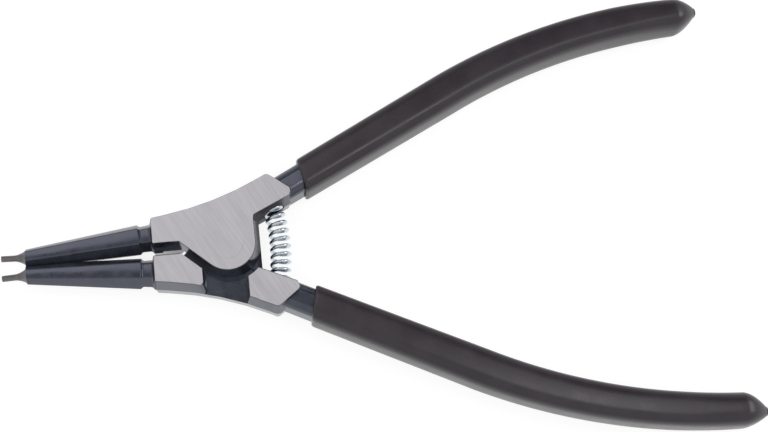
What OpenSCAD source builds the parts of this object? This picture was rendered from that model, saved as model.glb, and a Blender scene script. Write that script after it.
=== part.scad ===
// External circlip pliers: two half-lapped forged arms on a flush rivet, hexagonal jaws with pin
// tips, an arched return spring and dip-coated handles, with the jaws closed.
// The origin is on the pivot axis, in the plane of the rear ground faces. +X runs to the handles.
// Both arms are one forging. The lower one is turned over about the tool axis.

/* [Head] */
// Thickness over the two ground faces
head_t = 10.8; // [9.6:0.1:12]
// Pivot to the jaw end of the head
head_front = 18; // [16:0.5:20]
// Outer edge above the tool axis, at the jaw end of the head
head_outer = 7.95; // [7:0.1:8.4]
// Inner edge above the tool axis, at the jaw end of the head
head_inner = 1.5; // [1.2:0.1:2]
// Slope of the outer edge at the jaw end
outer_front_slope = 8; // [5:0.5:11]
// Slope of the outer edge at the shoulder
outer_back_slope = 27; // [24:0.5:30]
// Pivot to the outer shoulder corner, along the tool
shoulder_x = 10.8; // [10:0.1:12]
// Outer shoulder corner above the tool axis
shoulder_y = 16.85; // [16:0.05:18]
// Pivot to the handle end of the ground face, along the tool
face_end_x = 16.6; // [15.5:0.1:18]
// Handle end of the ground face above the tool axis
face_end_y = 12.6; // [12:0.1:13.5]
// Pivot to the inner corner of the ground face, along the tool
heel_x = 15.8; // [14.5:0.1:17]
// Inner corner of the ground face above the tool axis
heel_y = 10.8; // [10:0.1:11.5]
// Slope of the inner edge between the heel and the lobe
inner_slope = 25; // [22:0.5:28]
// Rounding of the outer corners of the ground face
corner_r = 1.2; // [0.6:0.1:1.5]
// Draft of the forged side walls, away from the parting plane
wall_draft = 7; // [4:0.5:9]
// Broken edge round the ground faces
edge_break = 0.2; // [0.1:0.05:0.3]

/* [Lap joint] */
// Lobe radius at the ground face
lobe_r = 6.65; // [6:0.05:7.2]
// Slope of the straight edge that leaves the lobe towards the jaw
lobe_edge_slope = 42; // [38:0.5:46]
// Draft of the lobe wall
lobe_draft = 13; // [10:0.5:18]
// Draft of the straight wall that leaves the lobe
lobe_edge_draft = 2; // [1:0.5:6]
// Gap between the two lapped faces
lap_gap = 0.1; // [0.04:0.02:0.2]
// Gap between a lobe and the sloping wall of the other arm's recess
front_relief = 1.9; // [1.2:0.1:2.4]
// Gap between a lobe and the round wall of the other arm's recess
back_relief = 1.8; // [1:0.1:2.4]
// Pivot to the jaw wall of the recess, along the tool
recess_front = 6.6; // [6:0.1:7.5]
// Pivot to the handle wall of the recess, along the tool
recess_back = 4.3; // [3.5:0.1:5]
// Draft of the two recess walls
recess_draft = 9; // [4:0.5:11]
// How far the jaw wall of the recess is eased at its mouth
mouth_ease = 0.6; // [0.4:0.1:1]
// Rounding between the jaw wall and its eased mouth
mouth_r = 0.8; // [0.4:0.1:1.2]

/* [Rivet] */
// Shank diameter
rivet_d = 5; // [4:0.1:6]
// Diameter of the countersunk heads at the ground faces
rivet_head_d = 7.6; // [6.8:0.1:8.4]
// Running clearance round the rivet in the upper arm
rivet_play = 0.03; // [0.02:0.01:0.06]
// Clearance round the rivet in the lower arm, which holds it
rivet_fit = 0.01; // [0.005:0.005:0.02]

/* [Jaws] */
// Pivot to the end of the jaw
jaw_end = 48.6; // [44:0.2:54]
// Jaw width over the ridges at its end
jaw_end_w = 4.35; // [4.2:0.05:5]
// Jaw width over the ridges at the neck
jaw_root_w = 7.75; // [7:0.05:8.2]
// Width of the blunted jaw ridges
ridge_w = 0.35; // [0.2:0.05:0.5]
// Gap between the closed jaws at their ends
jaw_end_gap = 0.2; // [0.1:0.05:0.4]
// Gap between the closed jaws at the neck
jaw_root_gap = 0.8; // [0.4:0.1:1.2]
// Length of the neck groove
neck_len = 3.4; // [2.6:0.1:4]
// Depth of the neck groove
neck_depth = 0.6; // [0.3:0.05:0.8]

/* [Tips] */
// Pin diameter
pin_d = 1.5; // [1.2:0.1:1.8]
// Straight length of the pin
pin_len = 2.85; // [2:0.05:4]
// Chamfer at the pin's end
pin_chamfer = 0.12; // [0.05:0.01:0.2]
// Length of the concave flare
flare_len = 3; // [2.4:0.1:4]
// Diameter of the flare where it meets the jaw
flare_d = 3.7; // [3:0.1:3.75]
// Diameter of the stem inside the jaw
stem_d = 2; // [1.6:0.1:2.2]
// Length of the stem inside the jaw
stem_len = 6; // [4:0.5:8]
// Angle of the pins away from the tool axis
toe_out = 2; // [0:0.5:4]
// Clearance round the stem and under the flare
tip_fit = 0.01; // [0.005:0.005:0.02]

/* [Handles] */
// Angle of the straight part of the handle to the tool axis
handle_angle = 27; // [22:0.2:30]
// Where the handle's straight centreline crosses the pivot's plane, above the tool axis
handle_rise = 6.2; // [5.8:0.1:7]
// Length of the straight part, from the pivot's plane
handle_straight = 64.8; // [55:0.1:75]
// Radius of the bend that brings the handle parallel to the tool axis
bend_r = 150; // [120:1:180]
// Tang width where it leaves the head
tang_neck_w = 6.8; // [6.4:0.1:7.2]
// Tang width at the start of the grip
tang_root_w = 6.8; // [6.4:0.1:7.2]
// Tang width in the hand
tang_mid_w = 7.4; // [7:0.1:7.8]
// Tang width at its end
tang_end_w = 6.3; // [5.8:0.1:6.8]
// Tang thickness
tang_t = 8.8; // [8:0.1:9]
// Corner radius of the tang
tang_r = 2.2; // [1.6:0.1:2.4]
// Length of solid coating past the end of the tang
grip_cap = 6; // [5.6:0.1:8]

/* [Grips] */
// Pivot's plane to the start of the grip, along the handle
grip_start = 21.7; // [20.5:0.1:24]
// Thickness of the coating
grip_wall = 1; // [0.9:0.05:1.1]
// Corner radius of the coating
grip_r = 3.2; // [2.6:0.1:3.4]
// Thickness of the coating at its lip
lip_wall = 0.5; // [0.3:0.05:0.7]
// Length of the bevelled lip
lip_len = 0.9; // [0.5:0.1:1.5]
// Lean of the lip off the square of the handle, towards the square of the tool
lip_lean = 14; // [0:1:27]
// Length of the rounded end before the drip
dome_len = 3.2; // [2.6:0.1:4]
// Length of the pointed drip at the end
drip_len = 2.6; // [1.8:0.1:3]
// Width of the drip where it leaves the rounded end, as a share of the grip
drip_share = 0.64; // [0.5:0.01:0.75]
// Width of the drip near its blunt end
drip_tip_w = 1.9; // [1.4:0.1:2.4]
// Offset of the drip's point to the outer side of the handle
drip_out = 0.7; // [0:0.1:1.2]
// Length of the drip's blunt end
drip_blunt = 0.4; // [0.2:0.05:0.6]
// Clearance between the coating and the tang
grip_fit = 0.02; // [0.01:0.01:0.05]

/* [Spring] */
// Outside diameter of the coils
coil_d = 5; // [4.4:0.1:5.4]
// Wire diameter
wire_d = 0.75; // [0.6:0.05:0.9]
// Number of coils, end coils included
coils = 14; // [12:0.5:15]
// Closed coils at each end
closed_coils = 1; // [0.5:0.25:1.5]
// Pivot to the middle of the spring
spring_x = 12.7; // [12.2:0.1:13]
// Radius of the spring's bow
bow_r = 43; // [36:1:60]
// Depth of the spring pocket in each arm
pocket_depth = 3; // [2:0.1:3.5]
// Clearance round the coils in the pocket
pocket_play = 0.2; // [0.1:0.05:0.3]

/* [Hidden] */

$fn = 64;
arc_step = 5;
round_steps = 6;
bend_steps = 14;
neck_steps = 12;
recess_steps = 20;
wire_sides = 8;
coil_steps = 16;
cut_over = 1;

black_steel = "#3a3c44";
ground_steel = "#b0aeb2";
tip_steel = "#5b565a";
zinc = "#c9d0d6";
grip_vinyl = "#3c3a3d";

half_t = head_t / 2;
wall_flare = half_t * tan(wall_draft);
lobe_flare = half_t * tan(lobe_draft);
lobe_edge_flare = half_t * tan(lobe_edge_draft);
lobe_mid_r = lobe_r + lobe_flare;

// Plane vectors and outlines
function unit(v) = v / norm(v);
function left_of(v) = [-v[1], v[0]];
function turned(v, a) = [v[0] * cos(a) - v[1] * sin(a), v[0] * sin(a) + v[1] * cos(a)];
function slope_dir(a) = [cos(a), sin(a)];
function turn_between(u, v) = atan2(u[0] * v[1] - u[1] * v[0], u * v);
function crossing(p, u, q, v) =
    p + u * ((q - p) * left_of(v)) / (u * left_of(v));

// A closed outline is a list of [corner, radius, flare of the edge that leaves it], clockwise.
// grow moves each edge out by that share of its flare, and inset moves it back in.
function corner(path, i) = path[(i + len(path)) % len(path)];
function edge_dir(path, i) = unit(corner(path, i + 1)[0] - corner(path, i)[0]);
function edge_point(path, i, grow, inset) =
    corner(path, i)[0] + left_of(edge_dir(path, i)) * (corner(path, i)[2] * grow - inset);
function moved_corner(path, i, grow, inset) =
    crossing(edge_point(path, i - 1, grow, inset), edge_dir(path, i - 1),
             edge_point(path, i, grow, inset), edge_dir(path, i));
function corner_arc(p, into, out, r) =
    let (turn = turn_between(into, out),
         steps = r > 0 ? max(1, ceil(abs(turn) / arc_step)) : 0,
         start = p - into * r * tan(abs(turn) / 2),
         centre = start + left_of(into) * sign(turn) * r)
    r > 0 ? [for (j = [0 : steps]) centre + turned(start - centre, turn * j / steps)] : [p];
function grown_radius(path, i, grow, inset) =
    let (turn = turn_between(edge_dir(path, i - 1), edge_dir(path, i)), r = corner(path, i)[1])
    r == 0 || turn > 0 ? r
    : r + grow * (corner(path, i - 1)[2] + corner(path, i)[2]) / 2 - inset;
function outline(path, grow, inset) =
    [for (i = [0 : len(path) - 1])
        each corner_arc(moved_corner(path, i, grow, inset), edge_dir(path, i - 1), edge_dir(path, i),
                        grown_radius(path, i, grow, inset))];

// Head outline: two outer edges joined by a sweep, the shoulder, the heel, the round lobe and
// the straight edge from the lobe to the jaw
front_outer = [-head_front, head_outer];
front_inner = [-head_front, head_inner];
shoulder = [shoulder_x, shoulder_y];
heel = [heel_x, heel_y];
sweep = crossing(front_outer, slope_dir(outer_front_slope), shoulder, slope_dir(outer_back_slope));
sweep_turn = outer_back_slope - outer_front_slope;
sweep_share = 0.86;
sweep_r = sweep_share * min(norm(sweep - front_outer), norm(shoulder - sweep)) / tan(sweep_turn / 2);
sweep_dir = slope_dir(outer_front_slope);
sweep_centre = sweep + sweep_r * (left_of(sweep_dir) - tan(sweep_turn / 2) * sweep_dir);
lobe_side = [lobe_r, 0];
lobe_edge_dir = slope_dir(180 - lobe_edge_slope);
lobe_touch = -lobe_r * turned(lobe_edge_dir, -90);
throat = crossing(lobe_edge_dir + lobe_touch, lobe_edge_dir, front_inner, [1, 0]);
armpit = crossing(heel, slope_dir(inner_slope), lobe_side, [0, 1]);
lobe_corner = crossing(lobe_side, [0, 1], lobe_touch, lobe_edge_dir);
armpit_r = 0.8;
nose_r = 0.5;
mouth_share = 0.6;
mouth_far = 2 * shoulder_y;
head_path = [
    [throat, 0, wall_flare],
    [front_inner, nose_r, wall_flare],
    [front_outer, nose_r, wall_flare],
    [sweep, sweep_r, wall_flare],
    [shoulder, corner_r, wall_flare],
    [[face_end_x, face_end_y], corner_r, wall_flare],
    [heel, nose_r, wall_flare],
    [armpit, armpit_r, lobe_flare],
    [lobe_corner, lobe_r, lobe_edge_flare]
];

// Height of each ring of the head, the share of the flare there and how far it is set in
break_share = edge_break / half_t;
head_rings = [
    [-half_t, 0, edge_break],
    [edge_break - half_t, break_share, 0],
    [0, 1, 0],
    [half_t - edge_break, break_share, 0],
    [half_t, 0, edge_break]
];

// A solid through rings of points, each ring clockwise seen from the last. The end caps fan out from
// the first point of the ring, which sees the whole ring.
module loft(rings) {
    n = len(rings[0]);
    last = len(rings) - 1;
    sides = [for (k = [0 : last - 1], i = [0 : n - 1])
        let (a = k * n + i, b = k * n + (i + 1) % n)
        each [[a, b, b + n], [a, b + n, a + n]]];
    caps = [for (i = [1 : n - 2]) each [[0, i + 1, i], [last * n, last * n + i, last * n + i + 1]]];
    polyhedron(points = [for (ring = rings) each ring], faces = concat(sides, caps), convexity = 6);
}

// A plane section [across, down] stood on the point p, square to the direction dir. lean slides its
// points along dir, in proportion to their place across.
function stood(section, p, dir, lean = 0) =
    [for (q = section) let (at = p + q[0] * (left_of(dir) + lean * dir)) [at[0], at[1], -q[1]]];

function hexagon(w) =
    [for (i = [0 : 5], side = [-1, 1])
        let (tip = slope_dir(60 * i)) tip * (w / 2 - ridge_w / 4) + side * ridge_w / 2 * left_of(tip)];

function rounded_box(w, t, r) =
    [for (k = [0 : 3], j = [0 : round_steps])
        let (sx = (k == 0 || k == 3) ? 1 : -1, sy = k < 2 ? 1 : -1, a = 90 * k + 90 * j / round_steps)
        [sx * (w / 2 - r), sy * (t / 2 - r)] + r * slope_dir(a)];

// Jaw sections, from the head towards the tip
jaw_root = head_front + neck_len;
jaw_embed = 2;
neck_steep = 1.8;
function jaw_share(x) = (x - jaw_root) / (jaw_end - jaw_root);
function jaw_w(x) = jaw_root_w + (jaw_end_w - jaw_root_w) * jaw_share(x);
function jaw_inner(x) = (jaw_root_gap + (jaw_end_gap - jaw_root_gap) * jaw_share(x)) / 2;
function jaw_y(x) = jaw_inner(x) + jaw_w(x) / 2;
function neck_cut(x) =
    x > head_front && x < jaw_root
    ? 2 * neck_depth * min(1, neck_steep * sin(180 * (jaw_root - x) / neck_len)) : 0;
jaw_axis = unit([-(jaw_end - jaw_root), jaw_y(jaw_end) - jaw_y(jaw_root)]);
tip_axis = slope_dir(180 - toe_out);
jaw_tip = [-jaw_end, jaw_y(jaw_end)];
jaw_stations = concat([head_front - jaw_embed],
                      [for (j = [0 : neck_steps]) head_front + neck_len * j / neck_steps]);

// Handle centreline: a straight run from the pivot's plane, then a bend
bend_angle = handle_angle;
bend_len = bend_r * bend_angle * PI / 180;
handle_len = handle_straight + bend_len;
tang_len = handle_len - grip_cap;
tang_embed = 2;
tang_root = heel_x - tang_embed;
straight_end = [0, handle_rise] + handle_straight * slope_dir(handle_angle);
function bent(s) = max(0, s - handle_straight) / bend_r * 180 / PI;
function handle_dir(s) = slope_dir(handle_angle - bent(s));
function handle_point(s) =
    s <= handle_straight ? [0, handle_rise] + s * slope_dir(handle_angle)
    : straight_end + bend_r * (left_of(handle_dir(s)) - left_of(slope_dir(handle_angle)));
function tang_w(s) =
    lookup(s, [[tang_root, tang_neck_w], [grip_start, tang_root_w],
               [handle_straight, tang_mid_w], [tang_len, tang_end_w]]);
function handle_ring(s, grow, r, k, out = 0, lean = 0) =
    stood(rounded_box((tang_w(s) + 2 * grow) * k, (tang_t + 2 * grow) * k, r * k),
          handle_point(s) + out * left_of(handle_dir(s)), handle_dir(s), lean);
function tang_ring(s, grow, lean = 0) = handle_ring(s, grow, tang_r + grow, 1, lean = lean);
function grip_ring(s, k, out = 0, lean = 0) = handle_ring(s, grip_wall, grip_r, k, out, lean);
bend_stations = [for (j = [0 : bend_steps - 1]) handle_straight + bend_len * j / bend_steps];
function run_stations(a, b) =
    concat([a], [for (s = concat([grip_start], bend_stations)) if (s > a && s < b) s], [b]);

// Spring: an arc that bows towards the handles, its ends on the pocket floors
wall_y = heel_y - (heel_x - spring_x) * tan(inner_slope) - wall_flare / cos(inner_slope);
floor_bow = asin(wall_y / bow_r) + pocket_depth / bow_r * 180 / PI;
seat_play = 0.03;
spring_bow = floor_bow - (wire_d / 2 + seat_play) / bow_r * 180 / PI;
spring_len = 2 * spring_bow * PI / 180 * bow_r;
coil_r = (coil_d - wire_d) / 2;
closed_gap = 0.05;
closed_pitch = wire_d + closed_gap;
open_pitch = (spring_len - 2 * closed_coils * closed_pitch) / (coils - 2 * closed_coils);
bow_centre = [spring_x - bow_r, 0];
function bow_at(run) = run / bow_r * 180 / PI - spring_bow;
function run_at(turn) =
    turn < closed_coils ? turn * closed_pitch
    : turn > coils - closed_coils ? spring_len - (coils - turn) * closed_pitch
    : closed_coils * closed_pitch + (turn - closed_coils) * open_pitch;
function wire_ring(turn) =
    let (bow = bow_at(run_at(turn)),
         out = [cos(bow), sin(bow), 0],
         along = [-sin(bow), cos(bow), 0],
         radial = cos(360 * turn) * out - sin(360 * turn) * [0, 0, 1],
         centre = [bow_centre[0], bow_centre[1], 0] + bow_r * out + coil_r * radial)
    [for (j = [0 : wire_sides - 1])
        let (a = 360 * j / wire_sides) centre + wire_d / 2 * (cos(a) * radial + sin(a) * along)];

// Cuts in an arm. The outline of the recess narrows with its depth below the ground face. Its jaw wall
// is eased at the mouth, down the draft of the outer wall.
function recess_mouth(x, depth) =
    let (slope = asin((x - sweep_centre[0]) / sweep_r),
         turn = mouth_share * (90 + slope),
         out = [-sin(turn), cos(turn)],
         edge_y = sweep_centre[1] - sweep_r * cos(slope) + depth * tan(wall_draft) / cos(slope),
         foot = [x, edge_y - mouth_ease])
    concat(corner_arc(foot, [0, 1], out, mouth_r), [foot + (2 * mouth_ease + cut_over) * out]);
function recess_outline(depth) =
    let (wall_dir = slope_dir(lobe_edge_slope),
         foot = (lobe_r + lobe_edge_flare + front_relief) * left_of(wall_dir),
         front = depth * tan(recess_draft) - recess_front,
         back = recess_back - depth * tan(recess_draft),
         top = crossing(foot, wall_dir, [front, 0], [0, 1]),
         low = crossing(foot, wall_dir, [0, 0], [1, 0]),
         mouth = recess_mouth(front, depth),
         back_r = lobe_mid_r + back_relief,
         from = acos(back / back_r),
         to = -acos(lobe_mid_r / back_r))
    concat(
        [for (j = [0 : recess_steps]) back_r * slope_dir(from + (to - from) * j / recess_steps)],
        [[lobe_mid_r, -2 * lobe_mid_r], [low[0], -2 * lobe_mid_r], low, top],
        mouth,
        [[mouth[len(mouth) - 1][0], mouth_far], [back, mouth_far]]);
module recess() {
    loft([for (z = [-half_t - cut_over, lap_gap / 2])
        [for (q = recess_outline(half_t + z)) [q[0], q[1], z]]]);
}

module rivet_solid(clear) {
    r = rivet_d / 2 + clear;
    head_r = rivet_head_d / 2 + clear;
    cylinder(r = r, h = head_t + 2 * clear, center = true);
    for (flip = [0, 180])
        rotate([flip, 0, 0]) translate([0, 0, half_t - (head_r - r)])
            cylinder(r1 = r, r2 = head_r, h = head_r - r);
}

module spring_pocket() {
    floor_out = slope_dir(floor_bow);
    translate(concat(bow_centre + bow_r * floor_out, 0))
        rotate([90, 0, floor_bow])
            cylinder(d = coil_d + 2 * pocket_play, h = 2 * pocket_depth + cut_over);
}

module on_tip_axis() {
    translate(concat(jaw_tip, 0)) rotate([0, 0, 180 - toe_out]) rotate([0, 90, 0]) children();
}

// An arm about its parting plane, lobe up
module arm(rivet_clear) {
    difference() {
        union() {
            loft([for (ring = head_rings)
                [for (q = outline(head_path, ring[1], ring[2])) [q[0], q[1], ring[0]]]]);
            loft(concat(
                [for (x = jaw_stations) stood(hexagon(jaw_w(x) - neck_cut(x)), [-x, jaw_y(x)], jaw_axis)],
                [stood(hexagon(jaw_end_w), jaw_tip, tip_axis)]));
            loft([for (s = run_stations(tang_root, tang_len)) tang_ring(s, 0)]);
        }
        recess();
        rivet_solid(rivet_clear);
        spring_pocket();
        on_tip_axis() translate([0, 0, -stem_len - tip_fit])
            cylinder(d = stem_d + 2 * tip_fit, h = stem_len + cut_over);
    }
}

module tip() {
    pin_r = pin_d / 2;
    flare_r = flare_d / 2;
    sweep_in = (pow(flare_len, 2) + pow(flare_r - pin_r, 2)) / (2 * (flare_r - pin_r));
    flare_steps = 8;
    flare = [for (j = [0 : flare_steps])
        let (z = flare_len * j / flare_steps)
        [pin_r + sweep_in - sqrt(pow(sweep_in, 2) - pow(flare_len - z, 2)), z + tip_fit]];
    tip_len = flare_len + pin_len;
    on_tip_axis() rotate_extrude()
        polygon(concat(
            [[0, -stem_len], [stem_d / 2, -stem_len], [stem_d / 2, tip_fit]],
            flare,
            [[pin_r, tip_len - pin_chamfer], [pin_r - pin_chamfer, tip_len], [0, tip_len]]));
}

// One skin from the floor of the cavity to the lip, then outside to the drip. Both handles are dipped
// together, so the lip leans towards the square of the tool.
module grip() {
    level = tan(lip_lean);
    dome_start = handle_len - drip_len - dome_len;
    dome_end = acos(drip_share);
    drip_k = drip_tip_w / (tang_end_w + 2 * grip_wall);
    cavity = [for (s = bend_stations) if (s < tang_len) s];
    outside = [for (s = bend_stations) if (s < dome_start) s];
    loft(concat(
        [tang_ring(tang_len + grip_fit, grip_fit)],
        [for (i = [1 : len(cavity)]) tang_ring(cavity[len(cavity) - i], grip_fit)],
        [tang_ring(grip_start, grip_fit, level), tang_ring(grip_start, lip_wall, level)],
        [grip_ring(grip_start + lip_len, 1, lean = level)],
        [for (s = concat(outside, [dome_start])) grip_ring(s, 1)],
        [for (j = [1 : round_steps])
            let (a = dome_end * j / round_steps)
            grip_ring(dome_start + dome_len * sin(a) / sin(dome_end), cos(a))],
        [grip_ring(handle_len - drip_blunt, drip_k, drip_out),
         grip_ring(handle_len, drip_k / 2, drip_out)]));
}

// Stands a piece of the upper or the lower arm in the resting plane
module upper() { translate([0, 0, half_t]) children(); }
module lower() { translate([0, 0, half_t]) rotate([180, 0, 0]) children(); }

module upper_arm() { color(ground_steel) upper() arm(rivet_play); }
module lower_arm() { color(black_steel) lower() arm(rivet_fit); }
module upper_tip() { color(tip_steel) upper() tip(); }
module lower_tip() { color(tip_steel) lower() tip(); }
module joint_rivet() { color(ground_steel) upper() rivet_solid(0); }
module return_spring() {
    color(zinc) upper()
        loft([for (i = [0 : coils * coil_steps]) wire_ring(i / coil_steps)]);
}
module upper_grip() { color(grip_vinyl) upper() grip(); }
module lower_grip() { color(grip_vinyl) lower() grip(); }

upper_arm();
lower_arm();
upper_tip();
lower_tip();
joint_rivet();
return_spring();
upper_grip();
lower_grip();
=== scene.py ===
import math

import bmesh
import bpy
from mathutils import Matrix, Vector


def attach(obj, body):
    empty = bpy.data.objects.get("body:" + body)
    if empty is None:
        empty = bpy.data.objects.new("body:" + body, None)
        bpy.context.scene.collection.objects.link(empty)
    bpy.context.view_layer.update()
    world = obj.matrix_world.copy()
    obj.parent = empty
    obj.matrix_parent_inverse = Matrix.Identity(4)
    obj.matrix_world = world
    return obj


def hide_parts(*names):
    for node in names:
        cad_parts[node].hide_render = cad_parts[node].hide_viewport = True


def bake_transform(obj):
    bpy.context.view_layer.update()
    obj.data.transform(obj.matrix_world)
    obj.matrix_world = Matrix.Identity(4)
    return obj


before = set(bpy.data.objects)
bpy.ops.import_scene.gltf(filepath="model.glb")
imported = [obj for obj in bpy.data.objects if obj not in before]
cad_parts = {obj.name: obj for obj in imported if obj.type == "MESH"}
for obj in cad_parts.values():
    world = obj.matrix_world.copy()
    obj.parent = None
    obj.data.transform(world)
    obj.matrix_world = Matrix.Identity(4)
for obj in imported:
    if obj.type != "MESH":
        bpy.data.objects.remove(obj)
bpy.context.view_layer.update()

# The tool's lengths are in mm and all angles in degrees. Places that Blender is given are in metres.
MM = 0.001
PARTING = 5.4 * MM  # height of the arms' parting plane above the resting plane, in metres


# Camera, lamps and floor

CAMERA_PLACE = (0.0022867, -0.1111632, 0.3811935)  # in metres
CAMERA_TURN = (17.6013, -3.5703, -6.3589)
LENS = 75
SENSOR_W = 36
FLOOR_HALF = 2  # half the floor's side, in metres


def make_camera():
    """Stands where the photograph was taken from, as fitted to mirrored points on the two arms."""
    data = bpy.data.cameras.new("camera")
    data.lens = LENS
    data.sensor_width = SENSOR_W
    data.clip_start = 0.01
    data.clip_end = 10
    camera = bpy.data.objects.new("camera", data)
    camera.location = CAMERA_PLACE
    camera.rotation_euler = [math.radians(a) for a in CAMERA_TURN]
    bpy.context.scene.collection.objects.link(camera)
    bpy.context.scene.camera = camera


def softbox(name, place, turn, width, height, power):
    """A lamp that hangs face down, turned by some degrees about the vertical. Sizes are in metres."""
    data = bpy.data.lights.new(name, "AREA")
    data.shape = "RECTANGLE"
    data.size = width
    data.size_y = height
    data.energy = power
    lamp = bpy.data.objects.new(name, data)
    lamp.location = place
    lamp.rotation_euler = (0, 0, math.radians(turn))
    bpy.context.scene.collection.objects.link(lamp)


# Material helpers

def linear(hex_colour):
    """sRGB hex to linear RGBA."""
    parts = [int(hex_colour[i:i + 2], 16) / 255 for i in (1, 3, 5)]
    return [c / 12.92 if c <= 0.04045 else ((c + 0.055) / 1.055) ** 2.4 for c in parts] + [1]


def add(tree, kind, settings=None, links=None):
    """Adds a node. settings are attributes, or socket values under the socket's name or number.
    links map its inputs to (node, output)."""
    node = tree.nodes.new("ShaderNode" + kind)
    for key, value in (settings or {}).items():
        if isinstance(key, str) and hasattr(node, key):
            setattr(node, key, value)
        else:
            node.inputs[key].default_value = value
    for key, (source, output) in (links or {}).items():
        tree.links.new(source.outputs[output], node.inputs[key])
    return node


def new_material(name):
    material = bpy.data.materials.new(name)
    material.use_nodes = True
    material.node_tree.nodes.clear()
    return material, material.node_tree


# Numbers of a Mix node's sockets for plain numbers and for colours, and of a wave's grey level
NUMBER_A, NUMBER_B = 2, 3
COLOUR_A, COLOUR_B, COLOUR_OUT = 6, 7, 2
WAVE_LEVEL = 1
WAVE_RADIANS = 20  # through which a wave of scale 1 runs per unit


# Materials

GROUND_START = 5.26  # from the parting plane, where the ground finish begins
GROUND_FULL = 5.36  # and where it is full, just under the ground face
LINES_TURN = 61  # of the grinding lines
# Painted shade on the walls round the spring: where it lies, in mm
PAINTED_SHADE_X = 10.6  # from the pivot to the middle of the gap between its lobe and the spring
PAINTED_SHADE_NEAR = 2.9  # from there, where the painted shade is full
PAINTED_SHADE_FAR = 4.7  # and where it ends


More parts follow.
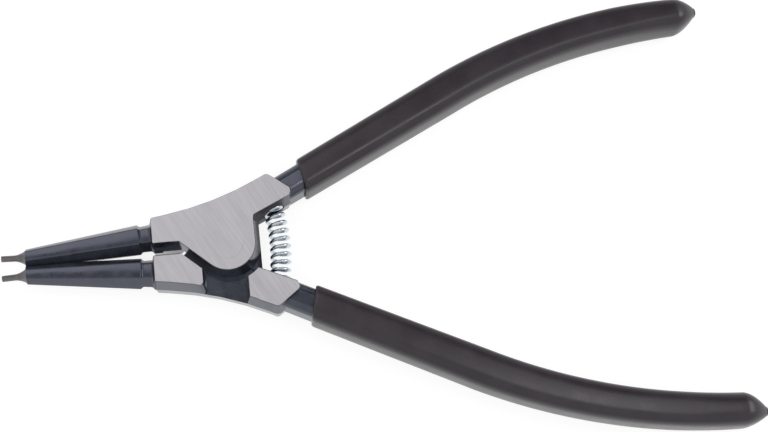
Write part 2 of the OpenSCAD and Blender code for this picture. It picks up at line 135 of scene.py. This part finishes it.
def forged_arm_steel():
    """Drop-forged chrome vanadium steel, blackened all over, then surface-ground on its two flat faces:
    blue-black walls with a fine tumbled grain, with painted shade that darkens and dulls them round
    the spring, and pale faces with lines that the wheel left."""
    material, tree = new_material("forged_arm_steel")
    place = add(tree, "TexCoord")
    spot = add(tree, "SeparateXYZ", links={0: (place, "Object")})
    # Only the two faces at the full thickness of the head see the grinding wheel
    rise = add(tree, "Math", {"operation": "SUBTRACT", 1: PARTING}, {0: (spot, "Z")})
    depth = add(tree, "Math", {"operation": "ABSOLUTE"}, {0: (rise, 0)})
    ground = add(tree, "MapRange", {"From Min": GROUND_START * MM, "From Max": GROUND_FULL * MM},
                 {0: (depth, 0)})

    # Grinding lines: fine ones 0.45 mm apart and 9 mm long, broad ones 2.2 mm apart and 14 mm long
    fine_scale = (1 / (9 * MM), 1 / (0.45 * MM), 1 / (9 * MM))
    broad_scale = (1 / (14 * MM), 1 / (2.2 * MM), 1 / (14 * MM))
    turned = add(tree, "Mapping", {"Rotation": (0, 0, math.radians(LINES_TURN))}, {0: (place, "Object")})
    fine = add(tree, "Mapping", {"Scale": fine_scale}, {0: (turned, 0)})
    lines = add(tree, "TexNoise", {"Scale": 1, "Detail": 5, "Roughness": 0.6}, {0: (fine, 0)})
    wide = add(tree, "Mapping", {"Scale": broad_scale}, {0: (turned, 0)})
    broad = add(tree, "TexNoise", {"Scale": 1, "Detail": 2}, {0: (wide, 0)})
    streak = add(tree, "Mix", {"data_type": "FLOAT", "Factor": 0.3},
                 {NUMBER_A: (lines, 0), NUMBER_B: (broad, 0)})
    shade = add(tree, "MapRange", {"From Min": 0.32, "From Max": 0.68}, {0: (streak, 0)})
    pale = add(tree, "Mix",
               {"data_type": "RGBA", COLOUR_A: linear("#c0bdc2"), COLOUR_B: linear("#d6d3d8")},
               {"Factor": (shade, 0)})
    wheel_rough = add(tree, "MapRange",
                      {"From Min": 0.3, "From Max": 0.7, "To Min": 0.32, "To Max": 0.42}, {0: (lines, 0)})
    wheel_bump = add(tree, "Bump", {"Strength": 0.12, "Distance": 0.03 * MM}, {"Height": (lines, 0)})
    bright = add(tree, "BsdfPrincipled", {"Metallic": 1},
                 {"Base Color": (pale, COLOUR_OUT), "Roughness": (wheel_rough, 0),
                  "Normal": (wheel_bump, 0)})

    # Black oxide: mottled over 2.2 mm, on a tumbled grain of 0.3 mm
    mottle = add(tree, "TexNoise", {"Scale": 1 / (2.2 * MM), "Detail": 4}, {0: (place, "Object")})
    grain = add(tree, "TexNoise", {"Scale": 1 / (0.3 * MM), "Detail": 2}, {0: (place, "Object")})
    patch = add(tree, "MapRange", {"From Min": 0.3, "From Max": 0.7}, {0: (mottle, 0)})
    black = add(tree, "Mix",
                {"data_type": "RGBA", COLOUR_A: linear("#24272f"), COLOUR_B: linear("#34363f")},
                {"Factor": (patch, 0)})
    oxide_rough = add(tree, "MapRange", {"To Min": 0.12, "To Max": 0.2}, {0: (patch, 0)})
    oxide_bump = add(tree, "Bump", {"Strength": 0.3, "Distance": 0.015 * MM}, {"Height": (grain, 0)})
    oxide = add(tree, "BsdfPrincipled", {"Metallic": 0, "IOR": 1.85, "Specular Tint": linear("#dfe4fb")},
                {"Base Color": (black, COLOUR_OUT), "Roughness": (oxide_rough, 0),
                 "Normal": (oxide_bump, 0)})

    # Painted shade on the walls round the spring, by their distance from a line between the lobe and
    # the spring that is as long as the spring between its seats
    beside = add(tree, "Math", {"operation": "SUBTRACT", 1: PAINTED_SHADE_X * MM}, {0: (spot, "X")})
    from_axis = add(tree, "Math", {"operation": "ABSOLUTE"}, {0: (spot, "Y")})
    past_seat = add(tree, "Math", {"operation": "SUBTRACT", 1: POCKET_Y * MM}, {0: (from_axis, 0)})
    beyond = add(tree, "Math", {"operation": "MAXIMUM", 1: 0}, {0: (past_seat, 0)})
    gap = add(tree, "CombineXYZ", links={"X": (beside, 0), "Y": (beyond, 0)})
    far = add(tree, "VectorMath", {"operation": "LENGTH"}, {0: (gap, 0)})
    painted_shade_share = add(tree, "MapRange",
                 {"interpolation_type": "SMOOTHSTEP", "From Min": PAINTED_SHADE_NEAR * MM,
                  "From Max": PAINTED_SHADE_FAR * MM, "To Min": 1, "To Max": 0}, {0: (far, "Value")})
    # Painted shade: a darker, duller, non-metal finish for the walls round the spring
    painted_shade_colour = add(tree, "Mix",
               {"data_type": "RGBA", COLOUR_A: linear("#17141a"), COLOUR_B: linear("#221e26")},
               {"Factor": (patch, 0)})
    painted_shade_rough = add(tree, "MapRange", {"To Min": 0.45, "To Max": 0.6}, {0: (patch, 0)})
    painted_shade_bsdf = add(tree, "BsdfPrincipled", {"Metallic": 0, "IOR": 1.45, "Specular Tint": linear("#e8e4f2")},
                 {"Base Color": (painted_shade_colour, COLOUR_OUT), "Roughness": (painted_shade_rough, 0),
                  "Normal": (oxide_bump, 0)})
    # The walls take the painted shade round the spring
    walls = add(tree, "MixShader", links={0: (painted_shade_share, 0), 1: (oxide, 0), 2: (painted_shade_bsdf, 0)})
    both = add(tree, "MixShader", links={0: (ground, 0), 1: (walls, 0), 2: (bright, 0)})
    add(tree, "OutputMaterial", links={"Surface": (both, 0)})
    return material


def turned_tip_steel():
    """Tool steel pins, turned and tempered: a brownish grey with fine rings round the axis."""
    material, tree = new_material("turned_tip_steel")
    place = add(tree, "TexCoord")
    # Feed marks 1.885 mm apart, far coarser than real ones so that they show
    feed_scale = 2 * math.pi / (WAVE_RADIANS * 1.885 * MM)
    rings = add(tree, "TexWave", {"bands_direction": "X", "Scale": feed_scale, "Distortion": 0.4},
                {0: (place, "Object")})
    # Temper colour that drifts over 1.5 mm
    temper = add(tree, "TexNoise", {"Scale": 1 / (1.5 * MM), "Detail": 3}, {0: (place, "Object")})
    colour = add(tree, "Mix",
                 {"data_type": "RGBA", COLOUR_A: linear("#686466"), COLOUR_B: linear("#868287")},
                 {"Factor": (temper, 0)})
    rough = add(tree, "MapRange", {"To Min": 0.3, "To Max": 0.42}, {0: (rings, WAVE_LEVEL)})
    bump = add(tree, "Bump", {"Strength": 0.1, "Distance": 0.02 * MM}, {"Height": (rings, WAVE_LEVEL)})
    steel = add(tree, "BsdfPrincipled", {"Metallic": 1},
                {"Base Color": (colour, COLOUR_OUT), "Roughness": (rough, 0), "Normal": (bump, 0)})
    add(tree, "OutputMaterial", links={"Surface": (steel, 0)})
    return material


def zinc_spring_wire():
    """Drawn spring wire, zinc-plated with a clear blue passivation: a bright, bluish mirror."""
    material, tree = new_material("zinc_spring_wire")
    place = add(tree, "TexCoord")
    # Cloudy plating, in patches of 1.2 mm
    cloud = add(tree, "TexNoise", {"Scale": 1 / (1.2 * MM), "Detail": 3}, {0: (place, "Object")})
    colour = add(tree, "Mix",
                 {"data_type": "RGBA", COLOUR_A: linear("#b9c4ce"), COLOUR_B: linear("#dfe6ec")},
                 {"Factor": (cloud, 0)})
    rough = add(tree, "MapRange", {"To Min": 0.1, "To Max": 0.18}, {0: (cloud, 0)})
    zinc = add(tree, "BsdfPrincipled", {"Metallic": 1},
               {"Base Color": (colour, COLOUR_OUT), "Roughness": (rough, 0)})
    add(tree, "OutputMaterial", links={"Surface": (zinc, 0)})
    return material


def dipped_vinyl():
    """Plasticised PVC, dip-coated and cured: a satin charcoal skin with slow waves left by the dip."""
    material, tree = new_material("dipped_vinyl")
    place = add(tree, "TexCoord")
    # Waves of 6 mm, with a grain of 0.6 mm on them
    wave = add(tree, "TexNoise", {"Scale": 1 / (6 * MM), "Detail": 3}, {0: (place, "Object")})
    grain = add(tree, "TexNoise", {"Scale": 1 / (0.6 * MM), "Detail": 2}, {0: (place, "Object")})
    cloud = add(tree, "MapRange",
                {"interpolation_type": "SMOOTHSTEP", "From Min": 0.2, "From Max": 0.8}, {0: (wave, 0)})
    colour = add(tree, "Mix",
                 {"data_type": "RGBA", COLOUR_A: linear("#2a232a"), COLOUR_B: linear("#332c33")},
                 {"Factor": (cloud, 0)})
    rough = add(tree, "MapRange", {"To Min": 0.24, "To Max": 0.31}, {0: (cloud, 0)})
    wave_bump = add(tree, "Bump", {"Strength": 0.2, "Distance": 0.1 * MM}, {"Height": (wave, 0)})
    bump = add(tree, "Bump", {"Strength": 0.1, "Distance": 0.01 * MM},
               {"Height": (grain, 0), "Normal": (wave_bump, 0)})
    vinyl = add(tree, "BsdfPrincipled", {"Metallic": 0, "IOR": 1.53},
                {"Base Color": (colour, COLOUR_OUT), "Roughness": (rough, 0), "Normal": (bump, 0)})
    add(tree, "OutputMaterial", links={"Surface": (vinyl, 0)})
    return material


SHEET_GLOW = 0.86  # the sheet's share of white before any lamp reaches it


def white_sheet():
    """Matt white studio sheet: white to the eye and in the metal, and it still takes a faint shadow."""
    material, tree = new_material("white_sheet")
    matt = add(tree, "BsdfDiffuse", {"Color": linear("#898989")})
    path = add(tree, "LightPath")
    seen = add(tree, "Math", {"operation": "MAXIMUM"},
               {0: (path, "Is Camera Ray"), 1: (path, "Is Glossy Ray")})
    shown = add(tree, "Math", {"operation": "MAXIMUM"}, {0: (seen, 0), 1: (path, "Is Transmission Ray")})
    share = add(tree, "Math", {"operation": "MULTIPLY", 1: SHEET_GLOW}, {0: (shown, 0)})
    glow = add(tree, "Emission", links={"Strength": (share, 0)})
    both = add(tree, "AddShader", links={0: (matt, 0), 1: (glow, 0)})
    add(tree, "OutputMaterial", links={"Surface": (both, 0)})
    return material


# Ways to the parts of the studio, and how bright each is. 1 is white.
CEILING_WAY = (0.15, 0.45, 0.88)
FRONT_WAY = (0.58, -0.8, 0.14)
PANEL_WAY = (0.79, 0.12, 0.6)
WALL_LEVEL = 0.76
UNLIT_LEVEL = 0.176
FRONT_LEVEL = 0.6
PANEL_LEVEL = 2.4


def studio_sky():
    """Pale studio walls all round, a ceiling that is unlit behind the lamps and paler at the front, one
    bright panel high on the right, and white behind the object."""
    world = bpy.data.worlds.new("studio_sky")
    world.use_nodes = True
    tree = world.node_tree
    tree.nodes.clear()
    place = add(tree, "TexCoord")
    # From Min and From Max are cosines of the angle to a way, between which the level changes
    ceiling = add(tree, "VectorMath", {"operation": "DOT_PRODUCT", 1: CEILING_WAY},
                  {0: (place, "Generated")})
    unlit = add(tree, "MapRange",
                {"From Min": 0.78, "From Max": 0.97, "To Min": WALL_LEVEL, "To Max": UNLIT_LEVEL},
                {0: (ceiling, "Value")})
    front = add(tree, "VectorMath", {"operation": "DOT_PRODUCT", 1: FRONT_WAY}, {0: (place, "Generated")})
    lit = add(tree, "MapRange",
              {"From Min": -0.05, "From Max": 0.1, "To Min": UNLIT_LEVEL, "To Max": FRONT_LEVEL},
              {0: (front, "Value")})
    walls = add(tree, "Math", {"operation": "MAXIMUM"}, {0: (unlit, 0), 1: (lit, 0)})
    right = add(tree, "VectorMath", {"operation": "DOT_PRODUCT", 1: PANEL_WAY}, {0: (place, "Generated")})
    panel = add(tree, "MapRange",
                {"From Min": 0.96, "From Max": 0.985, "To Min": 0, "To Max": PANEL_LEVEL},
                {0: (right, "Value")})
    level = add(tree, "Math", {"operation": "ADD"}, {0: (walls, 0), 1: (panel, 0)})
    path = add(tree, "LightPath")
    shown = add(tree, "Math", {"operation": "MAXIMUM"}, {0: (level, 0), 1: (path, "Is Camera Ray")})
    light = add(tree, "Background", {"Color": linear("#ffffff")}, {"Strength": (shown, 0)})
    add(tree, "OutputWorld", links={"Surface": (light, 0)})
    return world


# Mesh helpers

def make_piece(name, mesh, material, sharp):
    """A smooth piece, with edges where faces meet at more than some degrees."""
    mesh.shade_smooth()
    mesh.set_sharp_from_angle(angle=math.radians(sharp))
    mesh.materials.append(material)
    piece = bpy.data.objects.new(name, mesh)
    bpy.context.scene.collection.objects.link(piece)
    return piece


def skin(name, rings):
    """A closed mesh of quads between rings of points, with a face on each end."""
    n = len(rings[0])
    last = len(rings) - 1
    verts = [p for ring in rings for p in ring]
    faces = [[k * n + i, k * n + (i + 1) % n, (k + 1) * n + (i + 1) % n, (k + 1) * n + i]
             for k in range(last) for i in range(n)]
    faces += [list(range(n))[::-1], list(range(last * n, last * n + n))]
    mesh = bpy.data.meshes.new(name)
    mesh.from_pydata(verts, [], faces)
    bm = bmesh.new()
    bm.from_mesh(mesh)
    bmesh.ops.recalc_face_normals(bm, faces=bm.faces)
    bm.to_mesh(mesh)
    bm.free()
    return mesh


def on_upper(p):
    """A point in mm about the parting plane, on the upper arm's side, in the frame."""
    return Vector((p[0], p[1], p[2])) * MM + Vector((0, 0, PARTING))


def on_lower(p):
    """The same point of the other forging, turned over about the tool's axis."""
    return Vector((p[0], -p[1], -p[2])) * MM + Vector((0, 0, PARTING))


def heading(degrees):
    """The way that a line at an angle to the tool's axis runs, seen from above."""
    return Vector((math.cos(math.radians(degrees)), math.sin(math.radians(degrees))))


# Arms

TOUCH_X = -37.2  # the closed jaws meet from their ends to here
TOUCH_GAP = 0.04  # left between them there
TOUCH_DEPTH = 0.8  # of the dressed flat, from the parting plane
RIDGE_REACH = 0.45  # a jaw's inner ridge lies within this of the tool's axis
RIDGE_RISE = 0.3  # and within this of the parting plane
WELD = 0.01  # points nearer to each other than this are one
FACET_ANGLE = 0.6  # facets that meet at less than this are one face
PARTING_ANGLE = 8  # walls that meet at more than this show the parting line
ARM_SHARP = 32  # faces that meet at more than this have an edge


def dress_jaw(bm):
    """Dresses the jaw's inner ridge to a flat, from the jaw's end to TOUCH_X, so that the closed jaws
    meet there."""
    geometry = bm.verts[:] + bm.edges[:] + bm.faces[:]
    bmesh.ops.bisect_plane(bm, geom=geometry, plane_co=(TOUCH_X * MM, 0, 0), plane_no=(1, 0, 0))
    for v in bm.verts:
        rise = v.co.z - PARTING
        on_ridge = abs(v.co.y) < RIDGE_REACH * MM and abs(rise) < RIDGE_RISE * MM
        if on_ridge and v.co.x < (TOUCH_X + WELD) * MM:
            v.co.y = math.copysign(TOUCH_GAP / 2 * MM, v.co.y)
            # The flat reaches deep on one side of the ridge, and the facet on the other side stays
            if v.co.y * rise < 0:
                v.co.z = PARTING + math.copysign(TOUCH_DEPTH * MM, rise)


def forging(name, node, material):
    """The arm's solid with its facets merged and its jaw dressed, so that light runs smoothly over its
    rounded walls and breaks at the forging's parting line."""
    bm = bmesh.new()
    bm.from_mesh(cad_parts[node].data)
    bmesh.ops.remove_doubles(bm, verts=bm.verts, dist=WELD * MM)
    bmesh.ops.dissolve_limit(bm, angle_limit=math.radians(FACET_ANGLE), verts=bm.verts, edges=bm.edges)
    dress_jaw(bm)
    bm.edges.index_update()
    parting = [e.index for e in bm.edges
               if e.is_manifold and e.calc_face_angle() > math.radians(PARTING_ANGLE)
               and all(abs(v.co.z - PARTING) < WELD * MM for v in e.verts)]
    mesh = bpy.data.meshes.new(name)
    bm.to_mesh(mesh)
    bm.free()
    piece = make_piece(name, mesh, material, ARM_SHARP)
    for i in parting:
        mesh.edges[i].use_edge_sharp = True
    piece.modifiers.new("face_normals", "WEIGHTED_NORMAL").keep_sharp = True
    return piece


# Grips

HANDLE_ANGLE = 27  # of the straight handle to the tool's axis
HANDLE_RISE = 6.2  # from the axis to the handle's centreline, at the pivot
HANDLE_STRAIGHT = 64.8  # along the centreline, from the pivot's plane to the bend
BEND_R = 150  # of the bend, which brings the handle parallel to the axis
HANDLE_LEN = HANDLE_STRAIGHT + BEND_R * math.radians(HANDLE_ANGLE)
TANG_SHORT = 6  # from the end of the tang to the end of the grip
TANG_LEN = HANDLE_LEN - TANG_SHORT
TANG_T = 8.8
GRIP_START = 21.7
GRIP_WALL = 1
GRIP_FIT = 0.02  # clearance round the tang
TANG_W = [(GRIP_START, 6.8), (HANDLE_STRAIGHT, 7.4), (TANG_LEN, 6.3)]  # place along the handle and width
# How square the sections are: 2 is an ellipse
TANG_SQUARE = 4.6
GRIP_SQUARE = 4
END_SQUARE = 2.6
ROUNDING_LEN = 22  # over which the grip gets rounder towards its end
LIP_WALL = 0.5
LIP_LEN = 0.9
LIP_ANGLE = 14  # by which the lip leans
LIP_LEAN = math.tan(math.radians(LIP_ANGLE))
END_LEN = 6.6  # the end and its drip
END_TAPER = 1.8  # 1 would be a cone
DRIP_TIP_W = 2.3
DRIP_OUT = 0.7  # from the centreline, away from the tool's axis
DRIP_BLUNT = 0.6
BLUNT_TURN = 80  # how far round the drip's end the rings go, and a flat closes it
RING_POINTS = 64
CAVITY_STEP = 3
SKIN_STEP = 1.5
LIP_CLEAR = 0.5  # from the lip to the first ring of the skin
LIP_STEPS = 8
END_STEPS = 24
BLUNT_STEPS = 5
GRIP_SHARP = 60


def along_handle(s):
    """Point and heading of the handle's centreline, s mm from the pivot's plane."""
    bend = math.degrees(max(0, s - HANDLE_STRAIGHT) / BEND_R)
    point = Vector((0, HANDLE_RISE)) + min(s, HANDLE_STRAIGHT) * heading(HANDLE_ANGLE)
    if s > HANDLE_STRAIGHT:
        point += BEND_R * (heading(HANDLE_ANGLE - bend + 90) - heading(HANDLE_ANGLE + 90))
    return point, heading(HANDLE_ANGLE - bend)


def tang_width(s):
    for (s0, w0), (s1, w1) in zip(TANG_W, TANG_W[1:]):
        if s <= s1:
            return w0 + (w1 - w0) * (s - s0) / (s1 - s0)
    return TANG_W[-1][1]


def lip_lean(s):
    """How far a ring slides along the handle per mm across it: full at the lip, none from the bend on."""
    lip_end = GRIP_START + LIP_LEN
    return LIP_LEAN * min(1, max(0, (HANDLE_STRAIGHT - s) / (HANDLE_STRAIGHT - lip_end)))


def handle_ring(place, s, grow, square, share=1, out=0):
    """A squared oval round the handle's centreline: the tang's size and grow on each side, times share,
    and out mm away from the tool's axis."""
    point, ahead = along_handle(s)
    aside = Vector((-ahead.y, ahead.x))
    halves = [share * (size / 2 + grow) for size in (tang_width(s), TANG_T)]
    ring = []
    for i in range(RING_POINTS):
        across, up = [math.copysign(abs(c) ** (2 / square), c) * half
                      for c, half in zip(heading(360 * i / RING_POINTS), halves)]
        flat = point + aside * (out + across) + ahead * (across * lip_lean(s))
        ring.append(place((flat.x, flat.y, up)))
    return ring


def grip_square(s):
    """How square the grip is: a rounded box on the handle, nearly round at its end."""
    near_end = min(1, max(0, (s - HANDLE_LEN + ROUNDING_LEN) / ROUNDING_LEN))
    return GRIP_SQUARE + (END_SQUARE - GRIP_SQUARE) * near_end


def stations(start, end, step):
    """Places from start to end, evenly spaced and at most a step apart."""
    count = max(1, math.ceil((end - start) / step))
    return [start + (end - start) * i / count for i in range(count + 1)]


def dipped_grip(name, place, material):
    """One skin: out of the closed cavity, over the rounded lip, along the handle and out to the drip."""
    end_start = HANDLE_LEN - END_LEN
    tip_share = DRIP_TIP_W / (TANG_W[-1][1] + 2 * GRIP_WALL)
    rings = [handle_ring(place, s, GRIP_FIT, TANG_SQUARE)
             for s in reversed(stations(GRIP_START, TANG_LEN + GRIP_FIT, CAVITY_STEP))]
    for step in range(LIP_STEPS + 1):
        turn = math.radians(90 * step / LIP_STEPS)
        rings.append(handle_ring(place, GRIP_START + LIP_LEN * (1 - math.cos(turn)),
                                 LIP_WALL + (GRIP_WALL - LIP_WALL) * math.sin(turn),
                                 TANG_SQUARE + (GRIP_SQUARE - TANG_SQUARE) * step / LIP_STEPS))
    rings += [handle_ring(place, s, GRIP_WALL, grip_square(s))
              for s in stations(GRIP_START + LIP_LEN + LIP_CLEAR, end_start, SKIN_STEP)]
    for step in range(1, END_STEPS + 1):
        t = step / END_STEPS
        s = end_start + (END_LEN - DRIP_BLUNT) * t
        rings.append(handle_ring(place, s, GRIP_WALL, grip_square(s),
                                 1 - (1 - tip_share) * t ** END_TAPER, DRIP_OUT * t * t))
    for step in range(1, BLUNT_STEPS + 1):
        turn = math.radians(BLUNT_TURN * step / BLUNT_STEPS)
        rings.append(handle_ring(place, HANDLE_LEN - DRIP_BLUNT * (1 - math.sin(turn)),
                                 GRIP_WALL, END_SQUARE, tip_share * math.cos(turn), DRIP_OUT))
    return make_piece(name, skin(name, rings), material, GRIP_SHARP)


# Spring

COIL_D = 5.3  # outside
WIRE_D = 0.9
COILS = 12.5
CLOSED_COILS = 1  # at each end
CLOSED_GAP = 0.05  # between the closed coils
SEAT_PLAY = 0.03  # between the wire and the pocket's floor
SPRING_X = 12.7  # from the pivot to the middle of the spring's arc
BOW_R = 43  # of that arc
POCKET_Y = 8.623  # from the tool's axis to the mouth of a spring pocket
POCKET_DEPTH = 3
COIL_STEPS = 40
WIRE_SIDES = 14
WIRE_SHARP = 35


def return_spring(name, material):
    """Left-hand coils on an arc that bows towards the handles."""
    half = math.asin(POCKET_Y / BOW_R) + (POCKET_DEPTH - WIRE_D / 2 - SEAT_PLAY) / BOW_R
    length = 2 * half * BOW_R
    closed = WIRE_D + CLOSED_GAP
    pitch = (length - 2 * CLOSED_COILS * closed) / (COILS - 2 * CLOSED_COILS)
    coil_r = (COIL_D - WIRE_D) / 2
    round_wire = [2 * math.pi * j / WIRE_SIDES for j in range(WIRE_SIDES)]
    rings = []
    for i in range(round(COILS * COIL_STEPS) + 1):
        turn = i / COIL_STEPS
        if turn < CLOSED_COILS:
            run = turn * closed
        elif turn > COILS - CLOSED_COILS:
            run = length - (COILS - turn) * closed
        else:
            run = CLOSED_COILS * closed + (turn - CLOSED_COILS) * pitch
        bow = run / BOW_R - half
        out = Vector((math.cos(bow), math.sin(bow), 0))
        ahead = Vector((-math.sin(bow), math.cos(bow), 0))
        radial = math.cos(2 * math.pi * turn) * out - math.sin(2 * math.pi * turn) * Vector((0, 0, 1))
        centre = Vector((SPRING_X - BOW_R, 0, 0)) + BOW_R * out + coil_r * radial
        rings.append([on_upper(centre + WIRE_D / 2 * (math.cos(a) * radial + math.sin(a) * ahead))
                      for a in round_wire])
    return make_piece(name, skin(name, rings), material, WIRE_SHARP)


# Assembly

make_camera()
softbox("left_softbox", place=(-0.12, 0.33, 0.8), turn=0, width=0.4, height=0.2, power=0.35)
softbox("right_softbox", place=(0.24, 0.05, 0.8), turn=31, width=0.16, height=0.07, power=0.26)
bpy.context.scene.world = studio_sky()

corners = [(FLOOR_HALF * x, FLOOR_HALF * y, 0) for x, y in ((-1, -1), (1, -1), (1, 1), (-1, 1))]
floor_mesh = bpy.data.meshes.new("floor")
floor_mesh.from_pydata(corners, [], [[0, 1, 2, 3]])
floor_mesh.materials.append(white_sheet())
floor = bpy.data.objects.new("floor", floor_mesh)
bpy.context.scene.collection.objects.link(floor)

arm_steel = forged_arm_steel()
tip_steel = turned_tip_steel()
zinc = zinc_spring_wire()
vinyl = dipped_vinyl()

for side, place in (("upper", on_upper), ("lower", on_lower)):
    body = side + "_half"
    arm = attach(forging(side + "_forging", side + "_arm", arm_steel), body)
    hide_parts(side + "_arm")
    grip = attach(dipped_grip(side + "_sleeve", place, vinyl), body)
    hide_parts(side + "_grip")
    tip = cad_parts[side + "_tip"]
    tip.data.materials.clear()
    tip.data.materials.append(tip_steel)

# The rivet is ground flush with the arms, so it has their finish
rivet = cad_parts["joint_rivet"]
rivet.data.materials.clear()
rivet.data.materials.append(arm_steel)

# The spring is made once, its ends in the two arms' pockets as they lie here
spring = return_spring("bowed_spring", zinc)
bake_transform(spring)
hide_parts("return_spring")

bpy.context.scene.view_settings.view_transform = "Standard"
